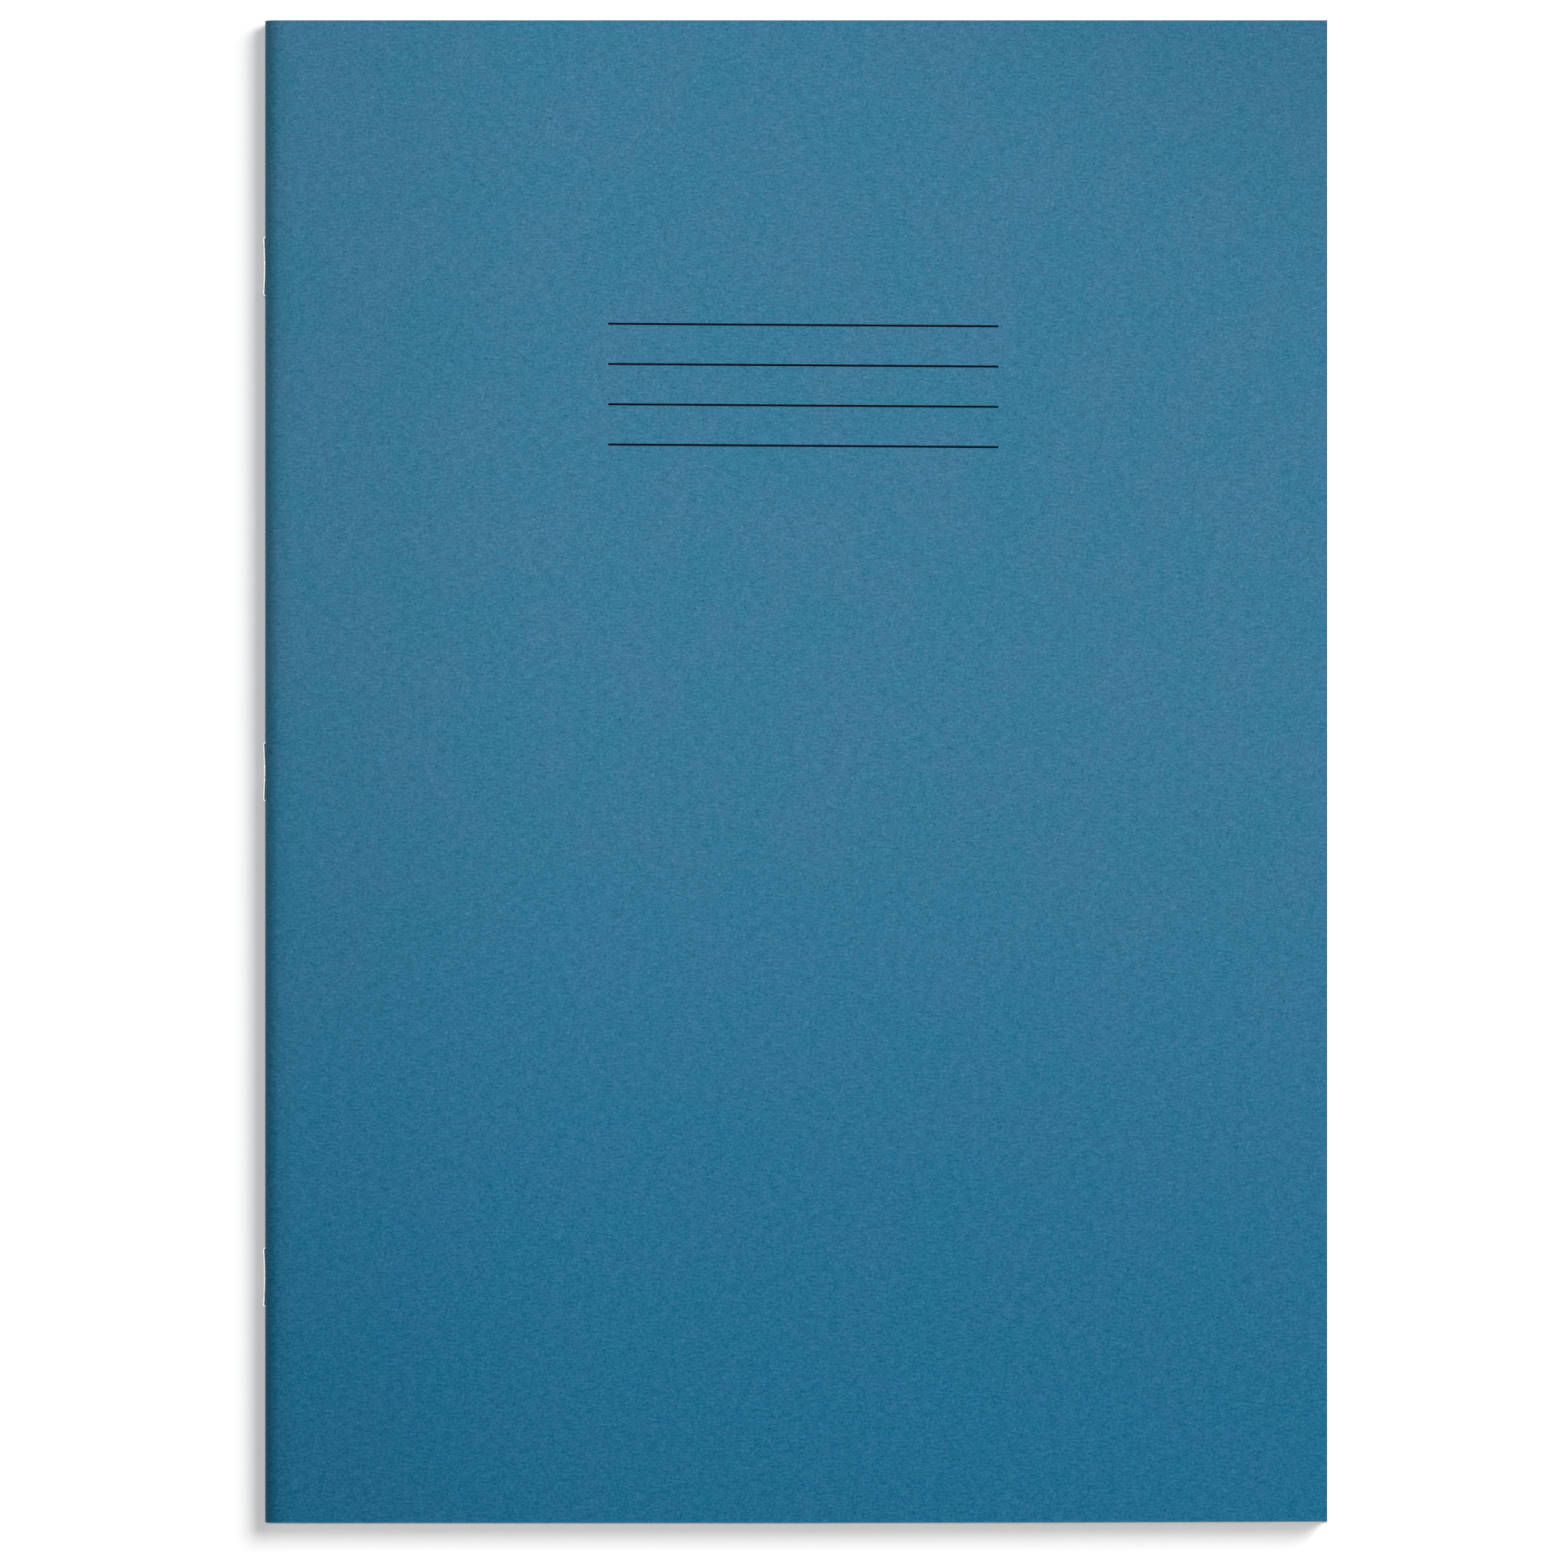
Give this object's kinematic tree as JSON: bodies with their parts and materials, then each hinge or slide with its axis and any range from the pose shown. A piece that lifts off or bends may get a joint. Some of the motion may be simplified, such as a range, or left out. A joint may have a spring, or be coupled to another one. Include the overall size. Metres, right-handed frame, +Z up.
{
  "type": "stapled exercise book",
  "caption": "Flat A4 school exercise book: nested folded sheets in a folded blue manilla cover, wire-stapled through the spine, that opens at its centre and at its cover.",
  "frame": {"origin": "centre of the closed book's underside, on the surface that it lies on", "axes": "+X from the spine to the fore-edge, +Y from the tail to the head, +Z up through the front cover"},
  "size_m": [0.2105, 0.297, 0.0057],
  "materials": {
    "blue_manilla": "matt uncoated card",
    "ruled_paper": "matt uncoated paper",
    "staple_wire": "bright drawn steel wire"
  },
  "bodies": {
    "back_half": {"cover_back_panel": "blue_manilla", "sheet_01_back_leaf": "ruled_paper"},
    "front_leaf_01": {"sheet_01_front_leaf": "ruled_paper"},
    "front_cover": {"cover_front_panel": "blue_manilla"},
    "spine": {"staple_top": "staple_wire", "staple_middle": "staple_wire", "staple_bottom": "staple_wire", "cover_spine_fold": "blue_manilla", "sheet_01_fold": "ruled_paper", "sheet_02_fold": "ruled_paper", "sheet_03_fold": "ruled_paper", "sheet_04_fold": "ruled_paper", "sheet_05_fold": "ruled_paper", "sheet_06_fold": "ruled_paper", "sheet_07_fold": "ruled_paper", "sheet_08_fold": "ruled_paper", "sheet_09_fold": "ruled_paper", "sheet_10_fold": "ruled_paper", "sheet_11_fold": "ruled_paper", "sheet_12_fold": "ruled_paper", "sheet_13_fold": "ruled_paper", "sheet_14_fold": "ruled_paper", "sheet_15_fold": "ruled_paper", "sheet_16_fold": "ruled_paper"},
    "back_leaf_02": {"sheet_02_back_leaf": "ruled_paper"},
    "front_leaf_02": {"sheet_02_front_leaf": "ruled_paper"},
    "back_leaf_03": {"sheet_03_back_leaf": "ruled_paper"},
    "front_leaf_03": {"sheet_03_front_leaf": "ruled_paper"},
    "back_leaf_04": {"sheet_04_back_leaf": "ruled_paper"},
    "front_leaf_04": {"sheet_04_front_leaf": "ruled_paper"},
    "back_leaf_05": {"sheet_05_back_leaf": "ruled_paper"},
    "front_leaf_05": {"sheet_05_front_leaf": "ruled_paper"},
    "back_leaf_06": {"sheet_06_back_leaf": "ruled_paper"},
    "front_leaf_06": {"sheet_06_front_leaf": "ruled_paper"},
    "back_leaf_07": {"sheet_07_back_leaf": "ruled_paper"},
    "front_leaf_07": {"sheet_07_front_leaf": "ruled_paper"},
    "back_leaf_08": {"sheet_08_back_leaf": "ruled_paper"},
    "front_leaf_08": {"sheet_08_front_leaf": "ruled_paper"},
    "back_leaf_09": {"sheet_09_back_leaf": "ruled_paper"},
    "front_leaf_09": {"sheet_09_front_leaf": "ruled_paper"},
    "back_leaf_10": {"sheet_10_back_leaf": "ruled_paper"},
    "front_leaf_10": {"sheet_10_front_leaf": "ruled_paper"},
    "back_leaf_11": {"sheet_11_back_leaf": "ruled_paper"},
    "front_leaf_11": {"sheet_11_front_leaf": "ruled_paper"},
    "back_leaf_12": {"sheet_12_back_leaf": "ruled_paper"},
    "front_leaf_12": {"sheet_12_front_leaf": "ruled_paper"},
    "back_leaf_13": {"sheet_13_back_leaf": "ruled_paper"},
    "front_leaf_13": {"sheet_13_front_leaf": "ruled_paper"},
    "back_leaf_14": {"sheet_14_back_leaf": "ruled_paper"},
    "front_leaf_14": {"sheet_14_front_leaf": "ruled_paper"},
    "back_leaf_15": {"sheet_15_back_leaf": "ruled_paper"},
    "front_leaf_15": {"sheet_15_front_leaf": "ruled_paper"},
    "back_leaf_16": {"sheet_16_back_leaf": "ruled_paper"},
    "front_leaf_16": {"sheet_16_front_leaf": "ruled_paper"}
  },
  "joints": [
    {"name": "open_at_centre", "type": "hinge", "parent": "back_half", "child": "front_leaf_01", "pos_m": [-0.10215, 0, 0.00284], "axis": [0, -1, 0], "range_deg": [0, 180], "deforming": ["cover_spine_fold", "sheet_01_fold"]},
    {"name": "front_cover_open", "type": "hinge", "parent": "front_leaf_01", "child": "front_cover", "pos_m": [-0.10215, 0, 0.00604], "axis": [0, -1, 0], "range_deg": [0, 180]},
    {"name": "spine_turn", "type": "hinge", "parent": "back_half", "child": "spine", "pos_m": [-0.10215, 0, 0.00284], "axis": [0, -1, 0], "range_deg": [0, 90]},
    {"name": "sheet_02_lift", "type": "hinge", "parent": "back_half", "child": "back_leaf_02", "pos_m": [-0.10215, 0, 0.00284], "axis": [0, -1, 0], "range_deg": [0, 0.8]},
    {"name": "sheet_02_open", "type": "hinge", "parent": "back_leaf_02", "child": "front_leaf_02", "pos_m": [-0.10215, 0, 0.00284], "axis": [0, -1, 0], "range_deg": [0, 178.4], "deforming": ["sheet_02_fold"]},
    {"name": "sheet_03_lift", "type": "hinge", "parent": "back_half", "child": "back_leaf_03", "pos_m": [-0.10215, 0, 0.00284], "axis": [0, -1, 0], "range_deg": [0, 1.6]},
    {"name": "sheet_03_open", "type": "hinge", "parent": "back_leaf_03", "child": "front_leaf_03", "pos_m": [-0.10215, 0, 0.00284], "axis": [0, -1, 0], "range_deg": [0, 176.8], "deforming": ["sheet_03_fold"]},
    {"name": "sheet_04_lift", "type": "hinge", "parent": "back_half", "child": "back_leaf_04", "pos_m": [-0.10215, 0, 0.00284], "axis": [0, -1, 0], "range_deg": [0, 2.4]},
    {"name": "sheet_04_open", "type": "hinge", "parent": "back_leaf_04", "child": "front_leaf_04", "pos_m": [-0.10215, 0, 0.00284], "axis": [0, -1, 0], "range_deg": [0, 175.2], "deforming": ["sheet_04_fold"]},
    {"name": "sheet_05_lift", "type": "hinge", "parent": "back_half", "child": "back_leaf_05", "pos_m": [-0.10215, 0, 0.00284], "axis": [0, -1, 0], "range_deg": [0, 3.2]},
    {"name": "sheet_05_open", "type": "hinge", "parent": "back_leaf_05", "child": "front_leaf_05", "pos_m": [-0.10215, 0, 0.00284], "axis": [0, -1, 0], "range_deg": [0, 173.6], "deforming": ["sheet_05_fold"]},
    {"name": "sheet_06_lift", "type": "hinge", "parent": "back_half", "child": "back_leaf_06", "pos_m": [-0.10215, 0, 0.00284], "axis": [0, -1, 0], "range_deg": [0, 4]},
    {"name": "sheet_06_open", "type": "hinge", "parent": "back_leaf_06", "child": "front_leaf_06", "pos_m": [-0.10215, 0, 0.00284], "axis": [0, -1, 0], "range_deg": [0, 172], "deforming": ["sheet_06_fold"]},
    {"name": "sheet_07_lift", "type": "hinge", "parent": "back_half", "child": "back_leaf_07", "pos_m": [-0.10215, 0, 0.00284], "axis": [0, -1, 0], "range_deg": [0, 4.8]},
    {"name": "sheet_07_open", "type": "hinge", "parent": "back_leaf_07", "child": "front_leaf_07", "pos_m": [-0.10215, 0, 0.00284], "axis": [0, -1, 0], "range_deg": [0, 170.4], "deforming": ["sheet_07_fold"]},
    {"name": "sheet_08_lift", "type": "hinge", "parent": "back_half", "child": "back_leaf_08", "pos_m": [-0.10215, 0, 0.00284], "axis": [0, -1, 0], "range_deg": [0, 5.6]},
    {"name": "sheet_08_open", "type": "hinge", "parent": "back_leaf_08", "child": "front_leaf_08", "pos_m": [-0.10215, 0, 0.00284], "axis": [0, -1, 0], "range_deg": [0, 168.8], "deforming": ["sheet_08_fold"]},
    {"name": "sheet_09_lift", "type": "hinge", "parent": "back_half", "child": "back_leaf_09", "pos_m": [-0.10215, 0, 0.00284], "axis": [0, -1, 0], "range_deg": [0, 6.4]},
    {"name": "sheet_09_open", "type": "hinge", "parent": "back_leaf_09", "child": "front_leaf_09", "pos_m": [-0.10215, 0, 0.00284], "axis": [0, -1, 0], "range_deg": [0, 167.2], "deforming": ["sheet_09_fold"]},
    {"name": "sheet_10_lift", "type": "hinge", "parent": "back_half", "child": "back_leaf_10", "pos_m": [-0.10215, 0, 0.00284], "axis": [0, -1, 0], "range_deg": [0, 7.2]},
    {"name": "sheet_10_open", "type": "hinge", "parent": "back_leaf_10", "child": "front_leaf_10", "pos_m": [-0.10215, 0, 0.00284], "axis": [0, -1, 0], "range_deg": [0, 165.6], "deforming": ["sheet_10_fold"]},
    {"name": "sheet_11_lift", "type": "hinge", "parent": "back_half", "child": "back_leaf_11", "pos_m": [-0.10215, 0, 0.00284], "axis": [0, -1, 0], "range_deg": [0, 8]},
    {"name": "sheet_11_open", "type": "hinge", "parent": "back_leaf_11", "child": "front_leaf_11", "pos_m": [-0.10215, 0, 0.00284], "axis": [0, -1, 0], "range_deg": [0, 164], "deforming": ["sheet_11_fold"]},
    {"name": "sheet_12_lift", "type": "hinge", "parent": "back_half", "child": "back_leaf_12", "pos_m": [-0.10215, 0, 0.00284], "axis": [0, -1, 0], "range_deg": [0, 8.8]},
    {"name": "sheet_12_open", "type": "hinge", "parent": "back_leaf_12", "child": "front_leaf_12", "pos_m": [-0.10215, 0, 0.00284], "axis": [0, -1, 0], "range_deg": [0, 162.4], "deforming": ["sheet_12_fold"]},
    {"name": "sheet_13_lift", "type": "hinge", "parent": "back_half", "child": "back_leaf_13", "pos_m": [-0.10215, 0, 0.00284], "axis": [0, -1, 0], "range_deg": [0, 9.6]},
    {"name": "sheet_13_open", "type": "hinge", "parent": "back_leaf_13", "child": "front_leaf_13", "pos_m": [-0.10215, 0, 0.00284], "axis": [0, -1, 0], "range_deg": [0, 160.8], "deforming": ["sheet_13_fold"]},
    {"name": "sheet_14_lift", "type": "hinge", "parent": "back_half", "child": "back_leaf_14", "pos_m": [-0.10215, 0, 0.00284], "axis": [0, -1, 0], "range_deg": [0, 10.4]},
    {"name": "sheet_14_open", "type": "hinge", "parent": "back_leaf_14", "child": "front_leaf_14", "pos_m": [-0.10215, 0, 0.00284], "axis": [0, -1, 0], "range_deg": [0, 159.2], "deforming": ["sheet_14_fold"]},
    {"name": "sheet_15_lift", "type": "hinge", "parent": "back_half", "child": "back_leaf_15", "pos_m": [-0.10215, 0, 0.00284], "axis": [0, -1, 0], "range_deg": [0, 11.2]},
    {"name": "sheet_15_open", "type": "hinge", "parent": "back_leaf_15", "child": "front_leaf_15", "pos_m": [-0.10215, 0, 0.00284], "axis": [0, -1, 0], "range_deg": [0, 157.6], "deforming": ["sheet_15_fold"]},
    {"name": "sheet_16_lift", "type": "hinge", "parent": "back_half", "child": "back_leaf_16", "pos_m": [-0.10215, 0, 0.00284], "axis": [0, -1, 0], "range_deg": [0, 12]},
    {"name": "sheet_16_open", "type": "hinge", "parent": "back_leaf_16", "child": "front_leaf_16", "pos_m": [-0.10215, 0, 0.00284], "axis": [0, -1, 0], "range_deg": [0, 156], "deforming": ["sheet_16_fold"]}
  ],
  "couplings": [
    {"joint": "spine_turn", "follows": "open_at_centre", "ratio": 0.5},
    {"joint": "sheet_02_lift", "follows": "open_at_centre", "ratio": 0.0044444},
    {"joint": "sheet_02_open", "follows": "open_at_centre", "ratio": 0.99111},
    {"joint": "sheet_03_lift", "follows": "open_at_centre", "ratio": 0.0088889},
    {"joint": "sheet_03_open", "follows": "open_at_centre", "ratio": 0.98222},
    {"joint": "sheet_04_lift", "follows": "open_at_centre", "ratio": 0.013333},
    {"joint": "sheet_04_open", "follows": "open_at_centre", "ratio": 0.97333},
    {"joint": "sheet_05_lift", "follows": "open_at_centre", "ratio": 0.017778},
    {"joint": "sheet_05_open", "follows": "open_at_centre", "ratio": 0.96444},
    {"joint": "sheet_06_lift", "follows": "open_at_centre", "ratio": 0.022222},
    {"joint": "sheet_06_open", "follows": "open_at_centre", "ratio": 0.95556},
    {"joint": "sheet_07_lift", "follows": "open_at_centre", "ratio": 0.026667},
    {"joint": "sheet_07_open", "follows": "open_at_centre", "ratio": 0.94667},
    {"joint": "sheet_08_lift", "follows": "open_at_centre", "ratio": 0.031111},
    {"joint": "sheet_08_open", "follows": "open_at_centre", "ratio": 0.93778},
    {"joint": "sheet_09_lift", "follows": "open_at_centre", "ratio": 0.035556},
    {"joint": "sheet_09_open", "follows": "open_at_centre", "ratio": 0.92889},
    {"joint": "sheet_10_lift", "follows": "open_at_centre", "ratio": 0.04},
    {"joint": "sheet_10_open", "follows": "open_at_centre", "ratio": 0.92},
    {"joint": "sheet_11_lift", "follows": "open_at_centre", "ratio": 0.044444},
    {"joint": "sheet_11_open", "follows": "open_at_centre", "ratio": 0.91111},
    {"joint": "sheet_12_lift", "follows": "open_at_centre", "ratio": 0.048889},
    {"joint": "sheet_12_open", "follows": "open_at_centre", "ratio": 0.90222},
    {"joint": "sheet_13_lift", "follows": "open_at_centre", "ratio": 0.053333},
    {"joint": "sheet_13_open", "follows": "open_at_centre", "ratio": 0.89333},
    {"joint": "sheet_14_lift", "follows": "open_at_centre", "ratio": 0.057778},
    {"joint": "sheet_14_open", "follows": "open_at_centre", "ratio": 0.88444},
    {"joint": "sheet_15_lift", "follows": "open_at_centre", "ratio": 0.062222},
    {"joint": "sheet_15_open", "follows": "open_at_centre", "ratio": 0.87556},
    {"joint": "sheet_16_lift", "follows": "open_at_centre", "ratio": 0.066667},
    {"joint": "sheet_16_open", "follows": "open_at_centre", "ratio": 0.86667}
  ]
}
